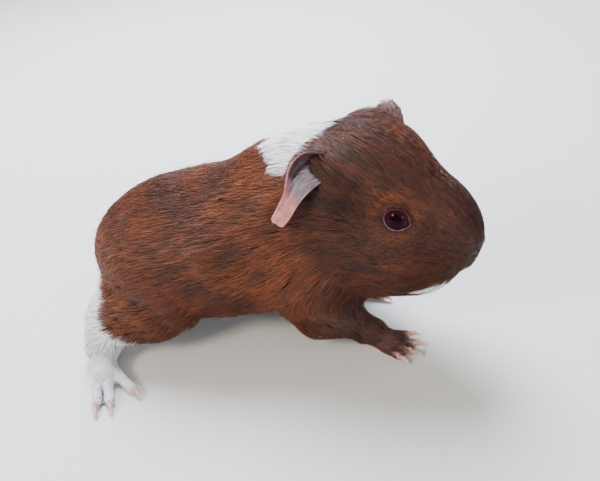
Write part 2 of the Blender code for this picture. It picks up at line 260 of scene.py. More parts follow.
def normals_of(points, triangles):
    a, b, c = (points[triangles[:, i]] for i in range(3))
    face = np.cross(b - a, c - a)
    sums = [sum(np.bincount(triangles[:, i], face[:, k], len(points)) for i in range(3)) for k in range(3)]
    return unit(np.stack(sums, 1))


# -------- materials
MIX_A, MIX_B, MIX_OUT = 6, 7, 2  # sockets of a mix node: its two colours and the mixed one


def linear(hexed):
    """sRGB hex colour as linear red, green, blue and alpha."""
    values = [int(hexed[i : i + 2], 16) / 255 for i in (1, 3, 5)]
    return (*(v / 12.92 if v <= 0.04045 else ((v + 0.055) / 1.055) ** 2.4 for v in values), 1)


def node(tree, kind, out, links=None, stops=(), **settings):
    """Adds one node with its settings, linked or plain inputs and colour stops; gives one output."""
    made = tree.nodes.new("ShaderNode" + kind)
    for name, value in settings.items():
        setattr(made, name, value)
    for socket, source in (links or {}).items():
        target = made.inputs[socket]
        if isinstance(source, bpy.types.NodeSocket):
            tree.links.new(source, target)
        else:
            target.default_value = linear(source) if isinstance(source, str) else source
    for i, (place, colour) in enumerate(stops):
        elements = made.color_ramp.elements
        element = elements[i] if i < 2 else elements.new(place)
        element.position = place
        element.color = linear(colour)
    return made.outputs[out]


def new_material(name):
    """A material with its tree and its shader, whose sockets are then set or linked."""
    made = bpy.data.materials.new(name)
    made.use_nodes = True
    return made, made.node_tree, made.node_tree.nodes["Principled BSDF"]


def set_shader(shader, **values):
    for name, value in values.items():
        shader.inputs[name.replace("_", " ")].default_value = value


def layered(tree, colour, low, high, layers):
    """Lays patterned colours over a base colour, each as far as the mark of its name says."""
    for name, (pattern, dark, light) in layers.items():
        share = node(tree, "Attribute", "Fac", attribute_name=name)
        layer = node(tree, "ValToRGB", "Color", {"Fac": pattern}, ((low, dark), (high, light)))
        colour = node(tree, "Mix", MIX_OUT, {"Factor": share, MIX_A: colour, MIX_B: layer}, data_type="RGBA")
    return colour


def raise_grain(tree, shader, grain, strength, height):
    """Raises a fine grain on the surface; height in millimetres."""
    bump = node(tree, "Bump", "Normal", {"Height": grain, "Strength": strength, "Distance": height * MM})
    tree.links.new(bump, shader.inputs["Normal"])


def hair_material():
    """Guinea pig hair is keratin, a smooth scaled fibre, so the coat has a soft sheen. Red pigment fills the
    tips and the roots are duller; white hair has no pigment."""
    made, tree, shader = new_material("keratin_hair")
    marks = ("tone", "root", "white")
    tone, root, white = (node(tree, "Attribute", "Fac", attribute_name=name) for name in marks)
    red_stops = ((0.0, "#1e0c06"), (0.35, "#4b210f"), (0.7, "#84421b"), (1.0, "#b06c31"))
    white_stops = ((0.0, "#e4e6ee"), (0.4, "#ffffff"), (1.0, "#ffffff"))
    red = node(tree, "ValToRGB", "Color", {"Fac": tone}, red_stops)
    red = node(tree, "Mix", MIX_OUT, {"Factor": root, MIX_A: red, MIX_B: "#180a07"}, data_type="RGBA")
    pale = node(tree, "ValToRGB", "Color", {"Fac": tone}, white_stops)
    colour = node(tree, "Mix", MIX_OUT, {"Factor": white, MIX_A: red, MIX_B: pale}, data_type="RGBA")
    tree.links.new(colour, shader.inputs["Base Color"])
    set_shader(shader, Roughness=0.52, IOR=1.55, Specular_IOR_Level=0.28)
    set_shader(shader, Sheen_Weight=0.15, Sheen_Roughness=0.4, Sheen_Tint=linear("#fff0e8"))
    return made


def skin_material():
    """Skin under a dense coat: dull and finely ridged, dark where the hair is red and pink where bare. The
    dark brown is partly painted shade from the coat over it.
    """
    made, tree, shader = new_material("skin_under_coat")
    place = node(tree, "TexCoord", "Object")
    along = node(tree, "Mapping", "Vector", {"Vector": place, "Scale": (0.25, 1.0, 1.0)})
    fine, blotch, strands = (
        node(tree, "TexNoise", "Fac", {"Vector": where, "Scale": 1 / (size * MM), "Detail": detail})
        for where, size, detail in ((place, 0.4, 3.0), (place, 3.5, 2.0), (along, 0.3, 2.0))
    )
    # Dark brown under the red coat, made darker as painted shade of the hairs above it
    colour = node(tree, "ValToRGB", "Color", {"Fac": strands}, ((0.25, "#1b0e0a"), (0.75, "#3d1f15")))
    layers = {
        "white": (strands, "#c4bdc2", "#eeecee"),
        "bare": (blotch, "#b07a76", "#d6aaa3"),
        "lid": (fine, "#4d3c46", "#7a6874"),
        # dark: painted shade in the nostrils, the mouth, the groove under the nose and between the toes
        "dark": (fine, "#241218", "#3f232c"),
    }
    tree.links.new(layered(tree, colour, 0.25, 0.75, layers), shader.inputs["Base Color"])
    raise_grain(tree, shader, fine, 0.35, 0.1)
    set_shader(shader, Roughness=0.55, IOR=1.4)
    return made


def ear_material():
    """Thin, nearly bare ear skin: dark in the hollow, partly its own darker skin and partly painted shade,
    lilac on the lobe, pink where it is thinnest.
    """
    made, tree, shader = new_material("thin_ear_skin")
    place = node(tree, "TexCoord", "Object")
    grain, patch = (
        node(tree, "TexNoise", "Fac", {"Vector": place, "Scale": 1 / (size * MM), "Detail": detail})
        for size, detail in ((0.5, 4.0), (2.5, 3.0))
    )
    colour = node(tree, "ValToRGB", "Color", {"Fac": patch}, ((0.3, "#6f5c68"), (0.7, "#8f7b88")))
    # hollow: darker skin, deepened as painted shade where the cup faces down and at the root
    layers = {"hollow": (patch, "#3d2a2c", "#5b4548"), "pink": (patch, "#b06865", "#d2918a")}
    tree.links.new(layered(tree, colour, 0.3, 0.7, layers), shader.inputs["Base Color"])
    raise_grain(tree, shader, grain, 0.3, 0.12)
    set_shader(shader, Roughness=0.5, IOR=1.4, Subsurface_Weight=0.2, Subsurface_Scale=0.5 * MM)
    return made


def eye_material():
    """A living eye: a wet clear cornea over a dark ruby iris with fine rays and a black pupil."""
    made, tree, shader = new_material("wet_ruby_eye")
    place = node(tree, "TexCoord", "Object")
    rays = node(tree, "TexNoise", "Fac", {"Vector": place, "Scale": 1 / (0.6 * MM), "Detail": 3.0})
    zone = node(tree, "Attribute", "Fac", attribute_name="zone")
    iris = node(tree, "ValToRGB", "Color", {"Fac": rays}, ((0.3, "#2b0816"), (0.7, "#471024")))
    pupil_stops = ((0.0, "#584458"), (0.36, "#7a5c70"), (0.72, "#ffffff"), (1.0, "#ffffff"))
    pupil = node(tree, "ValToRGB", "Color", {"Fac": zone}, pupil_stops)
    mix = {"Factor": 1.0, MIX_A: iris, MIX_B: pupil}
    colour = node(tree, "Mix", MIX_OUT, mix, data_type="RGBA", blend_type="MULTIPLY")
    tree.links.new(colour, shader.inputs["Base Color"])
    set_shader(shader, Roughness=0.03, IOR=1.38, Specular_IOR_Level=0.10)
    return made


def claw_material():
    """Horn, clear enough that the pink quick shows at the root, ivory at the tip."""
    made, tree, shader = new_material("claw_horn")
    along = node(tree, "Attribute", "Fac", attribute_name="along")
    stops = ((0.0, "#b97f78"), (0.45, "#c9a08f"), (1.0, "#e3d2bd"))
    colour = node(tree, "ValToRGB", "Color", {"Fac": along}, stops)
    tree.links.new(colour, shader.inputs["Base Color"])
    set_shader(shader, Roughness=0.3, IOR=1.54)
    return made


def floor_material():
    """A matt painted board."""
    made, _, shader = new_material("pale_board")
    set_shader(shader, Base_Color=linear("#d9d6d0"), Roughness=0.8)
    return made


HAIR = hair_material()
SKIN = skin_material()
EAR_SKIN = ear_material()
EYE = eye_material()
CLAW_HORN = claw_material()

# -------- the eye openings
EYE_RADIUS = 4.35
GAZE = unit((0.20, 0.96, 0.17))  # in the head's axes, for the left eye
OPENING_HALF = (4.0, 3.4)  # along the ball: half length and half height of the opening
EYE_CORNER = (radians(-26), 1.3, 0.30)  # front corner: where it points, how far it reaches, how wide it is
LID_RISE = 0.34
LID_WIDTH = 0.55


def eye_axes(side):
    """Rows: forwards, up and outwards at one eye, in the shared frame."""
    sign = SIDES[side]
    out = (GAZE * (1, sign, 1)) @ HEAD_AXES
    ahead = unit(HEAD_AXES[0] - (HEAD_AXES[0] @ out) * out)
    up = np.cross(out, ahead) * sign
    return np.array((ahead, up * (1 if up[2] > 0 else -1), out))


def lid_distance(p, side):
    """How far each point is outside the edge of the eye's opening, measured along the ball."""
    local = (p - EYE_MIDDLE[side]) @ eye_axes(side).T
    angle = np.arctan2(local[:, 1], local[:, 0])
    arc = np.arctan2(np.hypot(local[:, 0], local[:, 1]), local[:, 2]) * EYE_RADIUS
    a, b = OPENING_HALF
    opening = a * b / np.hypot(b * np.cos(angle), a * np.sin(angle))
    turn, reach, width = EYE_CORNER
    opening = opening + reach * hump((angle - turn) / width)
    return arc - opening, far(local)


# -------- markings
COLLAR_BACK, COLLAR_FRONT, COLLAR_LOW = -4.6, 9.2, 64.8  # in the body's axes: two in x, the last in z
CHIN_SPOT, CHIN_RADIUS = (13, 0, -25.5), 7.8  # in the head's axes


def white_share(p):
    """1 where the coat is white: a collar behind the ears, the chin, and the hind feet up to the heel."""
    x, y, z = to_body(p).T
    wave = 0.7 * np.sin(z * 0.9 + y * 0.5) + 0.5 * np.sin(y * 1.7 - z * 0.6)
    across = np.abs(y + 1)
    back, front = COLLAR_BACK + 0.5 * across, COLLAR_FRONT + 12 * hump(across / 5.5)
    collar = np.minimum(np.minimum(x - back, front - x) + 0.5 * wave, z - COLLAR_LOW)
    chin = CHIN_RADIUS - far((to_head(p) - CHIN_SPOT) / (1.2, 1.15, 0.8)) + 2.4 * wave
    right_heel = np.maximum(-59.5 - x + 0.25 * (22 - z), 10.5 - z - 1.1 * (x + 53)) + 0.5 * wave
    right_heel = np.where((y < 0) & (x < -40) & (z < 27), right_heel, -5)
    soles = np.where(x < -25, np.where((y > 0) | (x < -50), 8.0, 4.6) - z + 1.2 * wave, -5)
    return ease(np.maximum.reduce([collar, 0.35 * chin, 0.6 * right_heel, soles]), -0.7, 0.7)


# -------- the skin
FUSE = 0.28  # the solids are grown by this to close the gaps between them
GRAIN = 0.55  # size of the skin's faces
# In the head's axes: between the nostrils, the middle of the muzzle, and the lips
NOSE, MUZZLE, LIPS = np.array(((27, 0, -9.6), (24, 0, -10), (24, 0, -12)))

# By region: coat depth, hair length, hair width, hairs for each square mm, smoothing turns. A real hair is
# 0.05 mm wide and stands closer; each tuft is a few of them together, wide enough to show.
DEPTH, LENGTH, WIDTH, COUNT, TURNS = range(5)
REGIONS = {
    "trunk": (2.3, 11.5, 0.25, 3.5, 60),
    "neck": (2.3, 10.0, 0.25, 3.5, 60),
    "head": (1.7, 8.6, 0.17, 6.0, 18),
    "foreleg": (1.2, 4.8, 0.20, 3.6, 20),
    "hindleg": (1.1, 5.0, 0.20, 3.4, 30),
    "forefoot": (0.22, 1.8, 0.12, 7.0, 2),
    "hindfoot": (0.25, 2.6, 0.13, 7.5, 2),
}


def joined_to(edges, count, start):
    """Which vertices hang together with the start vertex."""
    inside = np.zeros(count, bool)
    inside[start] = True
    before = 0
    while inside.sum() > before:
        before = inside.sum()
        inside[edges[inside[edges].any(1)]] = True
    return inside


def fused_flesh():
    """All flesh solids and eyeballs as one closed surface."""
    shape = bmesh.new()
    for name in (*FLESH, "eye_right", "eye_left"):
        shape.from_mesh(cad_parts[name].data)
    bmesh.ops.remove_doubles(shape, verts=shape.verts, dist=1e-6)
    shape.normal_update()
    for vertex in shape.verts:
        vertex.co += vertex.normal * FUSE * MM
    mesh = bpy.data.meshes.new("flesh")
    shape.to_mesh(mesh)
    shape.free()
    holder = placed("flesh", mesh)
    remesh = holder.modifiers.new("fuse", "REMESH")
    remesh.mode = "VOXEL"
    remesh.voxel_size = GRAIN * MM
    fused = applied(holder)
    points = points_of(fused)
    body = joined_to(edges_of(fused), len(points), points[:, 0].argmax())
    kept = np.cumsum(body) - 1
    faces = [kept[list(polygon.vertices)] for polygon in fused.polygons if body[polygon.vertices[0]]]
    return mesh_from("skin", points[body], faces)


def region_shares(points, edges):
    """How much each vertex belongs to each region, softened across their borders."""
    names = list(REGIONS)
    vertices, faces, owner = [], [], []
    for name in FLESH:
        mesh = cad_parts[name].data
        faces.append(triangles_of(mesh) + sum(map(len, vertices)))
        vertices.append(points_of(mesh))
        owner += [names.index(name.split("_")[0])] * len(faces[-1])
    tree = BVHTree.FromPolygons(np.concatenate(vertices).tolist(), np.concatenate(faces).tolist())
    near = np.array([owner[tree.find_nearest(p)[2]] for p in points.tolist()])
    share = np.eye(len(names))[near]
    return dict(zip(names, spread(edges, share, 14).T))


def by_region(shares, column):
    return sum(share * REGIONS[name][column] for name, share in shares.items())


def refine(mesh):
    """Thins the faces that the coat hides and divides those round the eyes, nose, mouth and claws."""
    points = points_of(mesh)
    shown = (to_claws(points) < 11) | (to_eyes(points) < 10)
    shown |= far(to_head(points) - MUZZLE) < 12
    holder = placed("skin", mesh)
    holder.vertex_groups.new(name="hidden").add(np.flatnonzero(~shown).tolist(), 1, "REPLACE")
    thin = holder.modifiers.new("thin", "DECIMATE")
    thin.vertex_group, thin.ratio = "hidden", 0.38
    thinned = applied(holder)
    shape = bmesh.new()
    shape.from_mesh(thinned)
    for reach_eye, reach_nose, reach_claw in ((7.2, 8.5, 9.5), (5.9, 0, 0)):
        points = np.array([v.co for v in shape.verts]) / MM
        near = (far(to_head(points) - LIPS) < reach_nose) | (to_eyes(points) < reach_eye)
        near |= (to_claws(points) < reach_claw) & (points[:, 2] > 0.8)
        shape.verts.index_update()
        chosen = [e for e in shape.edges if near[e.verts[0].index] and near[e.verts[1].index]]
        bmesh.ops.subdivide_edges(shape, edges=chosen, cuts=1, use_grid_fill=True)
    shape.to_mesh(thinned)
    shape.free()
    return thinned


def sculpt_lids(points):
    """Wraps the skin round each eyeball: hidden inside the opening, a rounded rim, then out to the face."""
    lid = np.zeros(len(points))
    for side in SIDES:
        away, radius = lid_distance(points, side)
        outwards = (points - EYE_MIDDLE[side]) @ eye_axes(side)[2]
        close = (away < 4) & (radius < EYE_RADIUS + 4) & (outwards > -1)
        inside = EYE_RADIUS - 0.75
        rim = EYE_RADIUS + LID_RISE + 0.10 * np.cos(np.clip(away / LID_WIDTH, 0, 1) * pi)
        face = np.maximum(radius, EYE_RADIUS + 0.1)
        wanted = blend(inside, rim, ease(away, -0.28, 0.12))
        wanted = blend(wanted, face, ease(away, 0.4, 3.0))
        moved = EYE_MIDDLE[side] + unit(points - EYE_MIDDLE[side]) * wanted[:, None]
        points = np.where(close[:, None], moved, points)
        up = ((points - EYE_MIDDLE[side]) @ eye_axes(side)[1]) / EYE_RADIUS
        pale = 0.38 - 0.36 * np.clip(up * 1.6, -1, 1)
        rim_share = ease(away, -0.6, -0.2) * fade(away, 0.2, 0.55) * pale
        lid = np.maximum(lid, np.where(close, rim_share, 0))
    return points, lid


GROOVE_REACH = {"hindfoot": 10.5, "forefoot": 5.5}  # how far the grooves between the toes run back
GROOVE_DEPTH = 0.94


def sculpt_toes(points):
    """Parts the toes with a groove between each two neighbouring claws; also gives where the grooves are."""
    gaps = np.zeros(len(points))
    for foot in FEET:
        aside = np.cross((0, 0, 1), toe_heading(foot))
        claws = sorted((claw for claw in CLAWS if foot in claw), key=lambda claw: middle(claw) @ aside)
        for one, other in zip(claws, claws[1:]):
            gap = (middle(one) + middle(other)) / 2
            ahead = unit(claw_heading(one) + claw_heading(other))
            back = unit(unit((middle(foot) - gap) * (1, 1, 0)) - ahead)
            behind = (points - gap) @ back
            beside = (points - gap) @ np.cross((0, 0, 1), back)
            reach = GROOVE_REACH[foot.split("_")[0]]
            wide = 1.2 - 0.065 * np.clip(behind, 0, 10)
            share = hump((beside / wide) ** 2) * fade(behind, reach - 2.5, reach) * ease(behind, -5, -3)
            share *= points[:, 2] < 8
            points[:, 2] -= share * np.maximum(points[:, 2] - 0.5, 0) * GROOVE_DEPTH
            gaps = np.maximum(gaps, share)
    return points, gaps


def sculpt_muzzle(points, normals):
    """Nostrils, the groove below them, and the small mouth under the rounded upper lips; all three get
    painted shade.
    """
    x, y, z = (to_head(points) - NOSE).T
    aside = np.abs(y)
    front = ease(x, -9, -6)
    slant_long, slant_wide = (aside - 3.7) * 0.85 + z * 0.5, z * 0.85 - (aside - 3.7) * 0.5
    nostril = hump(slant_long / 1.25, slant_wide / 0.55)
    wing = hump((aside - 3.4) / 1.8, (z - 1.6) / 1.1)
    groove = hump(y / 0.38) * ease(z, -6.0, -5.0) * fade(z, -1.6, -0.4)
    lips = hump((aside - 2.9) / 2.3, (z + 3.6) / 1.9)
    mouth = hump((z + 5.8 + 0.42 * aside) / 0.5) * fade(aside, 3.8, 5.2)
    out = front * (0.55 * wing - 1.5 * nostril - 0.8 * groove + 0.6 * lips - 1.2 * mouth)
    # painted shade in the nostrils, the mouth and the groove under the nose
    dark = front * np.clip(1.6 * nostril + 1.2 * mouth + 0.9 * groove, 0, 1)
    pad = front * hump(y / 3.4, z / 1.7)
    return points + normals * out[:, None], dark, pad


def shape_skin():
    """The finished skin: its mesh, points, normals, edges, triangles, region shares and marks."""
    mesh = fused_flesh()
    points, edges, triangles = parts_of(mesh)
    shares = region_shares(points, edges)
    turns = by_region(shares, TURNS)
    points = spread(edges, points, int(turns.max()), 0.5 * turns / turns.max())
    normals = normals_of(points, triangles)
    depth = by_region(shares, DEPTH)
    head = to_head(points)
    depth = blend(depth, 0.45, fade(to_eyes(points), 5.5, 10))
    depth = blend(depth, 0.8, ease(head[:, 0], -6, 10) * shares["head"])
    depth = blend(depth, 0.4, ease(head[:, 0], 12, 24) * shares["head"])
    sole = ease(-normals[:, 2], 0.3, 0.8) * fade(points[:, 2], 1.0, 3.0)
    move_points(mesh, points - normals * (depth * (1 - sole) + FUSE)[:, None])
    mesh = refine(mesh)
    points, edges, triangles = parts_of(mesh)
    near = (to_eyes(points) < 8.5) | (far(to_head(points) - MUZZLE) < 11)
    points = spread(edges, points, 12, 0.5 * near)
    points, lid = sculpt_lids(points)
    points, dark, pad = sculpt_muzzle(points, normals_of(points, triangles))
    points, gaps = sculpt_toes(points)
    # the grooves between the toes get painted shade too
    dark = np.maximum(dark, 0.75 * gaps)
    points[:, 2] = np.maximum(points[:, 2], 0.02)
    move_points(mesh, points)
    shares = region_shares(points, edges)
    return mesh, points, normals_of(points, triangles), edges, triangles, shares, lid, dark, pad


def add_skin():
    mark(SKIN_MESH, white=WHITE, bare=BARE, lid=LID, dark=RECESS_SHADE)
    piece("skin", SKIN_MESH, SKIN, FLESH)


SKIN_MESH, POINTS, NORMALS, EDGES, TRIANGLES, SHARES, LID, RECESS_SHADE, PAD = shape_skin()
SKIN_TREE = BVHTree.FromPolygons(POINTS.tolist(), TRIANGLES.tolist())
FOOT_SHARE = SHARES["forefoot"] + SHARES["hindfoot"]
SOLE = ease(-NORMALS[:, 2], 0.2, 0.7) * fade(POINTS[:, 2], 1.5, 3.5) * (FOOT_SHARE > 0.3)
TOES = fade(to_claws(POINTS), 2.0, 5.5)
BARE = np.clip(0.12 * FOOT_SHARE + SOLE + 0.3 * PAD + TOES, 0, 1)


# -------- places on the ears
# Stations from an ear's root to its tip in the head's axes, y outwards: upper edge, lower edge, and how deep
# it is cupped between them. The right ear droops and the left one is pricked.
EAR_STATIONS = {
    "right": (
        ((-11.0, 8.6, 20.0), (-10.5, 12.0, 14.8), 1.0),
        ((-15.2, 12.6, 22.6), (-15.2, 16.6, 15.8), 3.4),
        ((-20.8, 18.2, 25.6), (-17.6, 20.8, 14.2), 5.0),
        ((-24.0, 22.1, 21.0), (-20.0, 23.0, 11.4), 3.8),
        ((-24.4, 22.9, 15.0), (-21.6, 24.6, 8.6), 1.8),
        ((-26.0, 24.3, 10.4), (-23.2, 25.4, 5.4), 0.9),
        ((-28.9, 27.0, 5.2), (-25.4, 26.2, 3.0), 0.4),
    ),
    "left": (
        ((-1.0, 10.6, 21.5), (-3.5, 12.4, 16.0), 1.0),
        ((-2.9, 14.2, 25.2), (-5.5, 16.6, 16.4), 3.4),
        ((-6.8, 17.8, 27.2), (-8.1, 20.0, 15.0), 4.6),
        ((-12.0, 21.2, 25.6), (-11.2, 22.8, 13.4), 3.6),
        ((-15.6, 23.2, 20.6), (-13.8, 24.2, 11.4), 1.8),
        ((-17.6, 25.2, 15.6), (-15.8, 25.6, 9.4), 0.9),
        ((-20.0, 27.0, 10.6), (-17.6, 26.6, 7.6), 0.4),
    ),
}
EAR_STEPS = (0, 0.2, 0.4, 0.6, 0.75, 0.87, 1)
EAR_OPENS = (0.55, 0.80, 0.10)  # the way the hollow faces
EAR_THICK = 0.5
# Where the fur stands up by each ear: how far before its root and below it, and how high; then on the crown
EAR_FRINGE = {"right": (5.0, 3.2, 3.0), "left": (11.0, 0, 5.6)}
CROWN_RISE = {"right": 0.8, "left": 3.2}

# -------- the lie of the coat
COAT_SOURCE = np.array((25, 0, -13.5))  # in the head's axes: the hair of the face runs back from here
FALL = 0.22  # how far the hair of the back and flanks runs down for each millimetre back


def lie_of_coat():
    """Unit direction in which the hair lies at each point of the skin."""
    h = to_head(POINTS)
    x, _, z = to_body(POINTS).T
    fall = FALL + 0.55 * fade(z, 12, 40) + 0.75 * fade(x, -66, -44) * fade(z, 30, 52)
    fall = fall + 0.85 * ease(x, -8, 16) * fade(z, 26, 54)
    body = np.stack([-np.ones_like(x), 0 * x, -fall], 1)
    away = unit(h - COAT_SOURCE) + (-0.25, 0, 0)
    away[:, 2] -= 0.35 * fade(h[:, 2], -4, 8)
    away[:, 2] += 0.15 * ease(h[:, 2], 8, 16) * ease(h[:, 0], -4, 8)
    ways = {"trunk": body, "neck": body, "head": away @ HEAD_AXES}
    own = nearest_foot(POINTS)
    heading = np.array([toe_heading(foot) for foot in FEET])[own] - (0, 0, 0.35)
    ways["forefoot"] = ways["hindfoot"] = heading
    arms = np.array([middle(foot) - middle(leg) for leg, foot in zip(LEGS, FEET)])[own]
    ways["foreleg"] = unit(arms) - (0, 0, 0.3)
    low = fade(z, 8, 17)
    ways["hindleg"] = np.stack([-1 + 0.6 * low, 0 * x, -0.25 - 0.75 * low], 1)
    flow = sum(SHARES[name][:, None] * unit(way) for name, way in ways.items())
    for _ in range(2):
        flow = spread(EDGES, flat(flow, NORMALS), 10)
    return flat(flow, NORMALS)


def coat_sizes():
    """Hair length, width, number for each square mm and height over the skin at each point."""
    length, width, count, rise = (by_region(SHARES, column) for column in (LENGTH, WIDTH, COUNT, DEPTH))
    h = to_head(POINTS)
    face = ease(h[:, 0], -8, 10) * SHARES["head"]
    tip = ease(h[:, 0], 12, 25) * SHARES["head"]
    by_nose = fade(far((h - NOSE - (-1, 0, -2)) / (1.5, 1.2, 1)), 3.0, 7.0)
    zones = [(face, 6.4, 0.15, 0.85), (tip, 2.8, 0.12, 0.5), (by_nose, 1.3, 0.10, 0.33)]
    count = blend(count, 8.6, face) * (1 + 0.3 * by_nose)
    for side in SIDES:
        away, radius = lid_distance(POINTS, side)
        near = fade(away, 0.8, 6.0) * (radius < 14)
        zones.append((near, 1.5, 0.11, 0.4))
        count = np.where((away < 0.45) & (radius < 8), 0, count * (1 + 0.7 * near))
    for share, *goals in zones:
        length, width, rise = (blend(a, b, share) for a, b in zip((length, width, rise), goals))
    for side in SIDES:
        ahead, below, high = EAR_FRINGE[side]
        front = np.array(EAR_STATIONS[side][1][:2]).mean(0) * (1, SIDES[side], 1) + (ahead, 0, -below)
        tuft = hump(far((h - front) / (1, 1, 1.5)) / 4.5)
        crown = hump(far(h - (-5, SIDES[side] * 10, 25)) / 6)
        rise = rise + high * tuft + CROWN_RISE[side] * crown
        length = length + 2.5 * tuft
        count = count * (1 + 0.8 * tuft)
    count = count * (1 - 0.45 * ease(-NORMALS[:, 2], 0.2, 0.7))
    count = count * fade(SOLE, 0.1, 0.4) * fade(RECESS_SHADE, 0.2, 0.5) * (1 - 0.85 * TOES)
    return length, width, count, rise


FLOW = lie_of_coat()
HAIR_LENGTH, HAIR_WIDTH, HAIR_COUNT, HAIR_RISE = coat_sizes()
WHITE = white_share(POINTS + FLOW * (0.5 * HAIR_LENGTH)[:, None])

# -------- tufts
NOISE = RNG.uniform(-1, 1, (97, 97))
LOCK_SIZE, LOCK_REACH, LOCK_PULL = 18, 3, 0.5  # hairs in a lock, how near they root, how far they lean to it
STRAYS, STRAY_RISE = 0.012, 1.6  # the share of hairs that stand up, and how much higher
SPLAY = 0.07  # radians between neighbouring hairs
RIDGE = 0.38  # height of a tuft's ridge against its width
ROOT_DEPTH = 0.12  # how deep a tuft starts in the skin
FLOOR_GAP = 0.05  # the least height of a tuft over the floor
RED_TONE = 0.42  # the middle tone of the red coat, 0 darkest and 1 lightest
HEIGHTS = {2: (0.9, 0.66), 3: (0.72, 1.0, 0.66)}  # how far a hair has risen after each step


def at_roots(triangle, weight, values):
    """Values of the skin's vertices at spots inside triangles."""
    return np.einsum("nk,nk...->n...", weight, values[TRIANGLES[triangle]])


def sow():
    """Roots spread over the skin: the triangle and the weights of its corners."""
    a, b, c = (POINTS[TRIANGLES[:, i]] for i in range(3))
    area = far(np.cross(b - a, c - a)) / 2
    total = np.cumsum(area * HAIR_COUNT[TRIANGLES].mean(1))
    triangle = np.searchsorted(total, RNG.random(int(total[-1])) * total[-1])
    weight = RNG.random((len(triangle), 2))
    weight = np.where(weight.sum(1)[:, None] > 1, 1 - weight, weight)
    return triangle, np.column_stack([weight, 1 - weight.sum(1)])


def on_skin(points):
    """Nearest spot on the skin, its normal and its flow."""
    hits = [SKIN_TREE.find_nearest(p) for p in points.tolist()]
    spots = np.array([hit[0][:] for hit in hits])
    index = TRIANGLES[[hit[2] for hit in hits]]
    return spots, unit(NORMALS[index].mean(1)), unit(FLOW[index].mean(1))


def lay(root, normal, way, length, rise, steps):
    """Lines of points that leave the skin and then lie along it, following the coat's direction."""
    line, ups, spot = [root - normal * ROOT_DEPTH], [normal], root
    for height in HEIGHTS[steps]:
        spot, up, flow = on_skin(spot + way * (length / steps)[:, None])
        way = flat(unit(0.55 * way + 0.45 * flow), up)
        line.append(spot + up * (rise * height)[:, None])
        ups.append(up)
    return np.stack(line, 1), np.stack(ups, 1)


def gather(line, root):
    """Leans each hair towards the middle hair of its lock, more at the tip."""
    lead = RNG.choice(len(root), max(1, len(root) // LOCK_SIZE), replace=False)
    tree = KDTree(len(lead))
    for i, spot in enumerate(root[lead].tolist()):
        tree.insert(spot, i)
    tree.balance()
    lock = np.array([tree.find(spot)[1] for spot in root.tolist()])
    leader = lead[lock]
    guide = line[leader]
    steps = line.shape[1] - 1
    t = (np.arange(steps + 1) / steps)[None, :, None]
    apart = (line[:, :1] - guide[:, :1]) * (1 - 0.5 * t)
    close = far(root - root[leader]) < LOCK_REACH
    share = LOCK_PULL * t**1.3 * close[:, None, None]
    return line + (guide + apart - line) * share, lock


def blades(line, ups, width):
    """Closed three-sided tapering tufts along lines: vertices, triangles and place along each."""
    count, rings = line.shape[0], line.shape[1] - 1
    run = unit(np.gradient(line, axis=1))
    side = unit(np.cross(run, ups))
    t = np.arange(rings) / rings
    thick = (width[:, None] * (0.8 + 0.7 * t - 1.1 * t**2))[..., None]
    base, half = line[:, :rings], side[:, :rings] * thick / 2
    ridge = base + np.cross(side, run)[:, :rings] * thick * RIDGE
    body = np.stack([base - half, base + half, ridge], 2).reshape(count, rings * 3, 3)
    vertices = np.concatenate([body, line[:, rings:]], 1)
    faces = [(0, 1, 2)]
    for ring, j in product(range(rings - 1), range(3)):
        a, b = 3 * ring + j, 3 * ring + (j + 1) % 3
        faces += [(a, a + 3, b + 3), (a, b + 3, b)]
    last = 3 * (rings - 1)
    faces += [(last + j, 3 * rings, last + (j + 1) % 3) for j in range(3)]
    faces = np.array(faces)
    every = faces[None] + (np.arange(count) * (3 * rings + 1))[:, None, None]
    along = np.append(np.repeat(t, 3), 1)
    return vertices.reshape(-1, 3), every.reshape(-1, 3), faces, np.tile(along, count)


PATCH = 0.003  # size of one tuft's patch on the map


def tuft_map(mesh, place, faces, rings):
    """The OFBake map: each tuft is one small patch at its root's place on the unwrapped skin."""
    corner = np.zeros((len(faces), 3, 2))
    for i, face in enumerate(faces):
        for j, vertex in enumerate(face):
            ring, turn = min(vertex // 3, rings), vertex % 3
            # On the side that closes the tuft, its first corner comes again as a fourth.
            if i and turn == 0 and vertex < 3 * rings and 2 in {v % 3 for v in face if v < 3 * rings}:
                turn = 3
            corner[i, j] = (0.5 if vertex == 3 * rings else turn / 3, ring / rings)
    spots = place[:, None, None] + (corner[None] - 0.5) * PATCH
    layer = mesh.uv_layers.new(name="OFBake")
    layer.data.foreach_set("uv", spots.astype(np.float32).ravel())


def unwrap(p, region):
    """Places on an unwrap of the skin, 0 to 1 both ways: along the body or head, and round it."""
    b, h = to_body(p), to_head(p)
    if region == "head":
        along, around = h[:, 0], np.arctan2(h[:, 1], h[:, 2] + 4)
    elif region == "limbs":  # each leg has its own part of the unwrap
        own = nearest_foot(p)
        local = p - FEET_AT[own]
        around = np.arctan2(local[:, 1], local[:, 0]) + 2.2 * pi * (own % 2)
        along = p[:, 2] + 0.35 * np.hypot(local[:, 0], local[:, 1]) + 60 * (own // 2)
    else:
        along, around = b[:, 0], np.arctan2(b[:, 1], b[:, 2] - 30)
    place = np.stack([along, around], 1)
    low, high = place.min(0), place.max(0)
    return 0.01 + 0.98 * (place - low) / (high - low)


def add_tufts(name, line, ups, width, place, **marks):
    """One piece of tufts along lines, each with its own marks and its own patch of the map."""
    vertices, triangles, faces, along = blades(line, ups, width)
    vertices[:, 2] = np.maximum(vertices[:, 2], FLOOR_GAP)
    mesh = mesh_from(name, vertices, triangles.tolist())
    mesh.validate()
    steps = line.shape[1] - 1
    mark(mesh, **{key: np.repeat(value, 3 * steps + 1) for key, value in marks.items()})
    mark(mesh, root=np.clip(1 - along * 1.8, 0, 1) * 0.75)
    tuft_map(mesh, place, faces, steps)
    piece(name, mesh, HAIR)


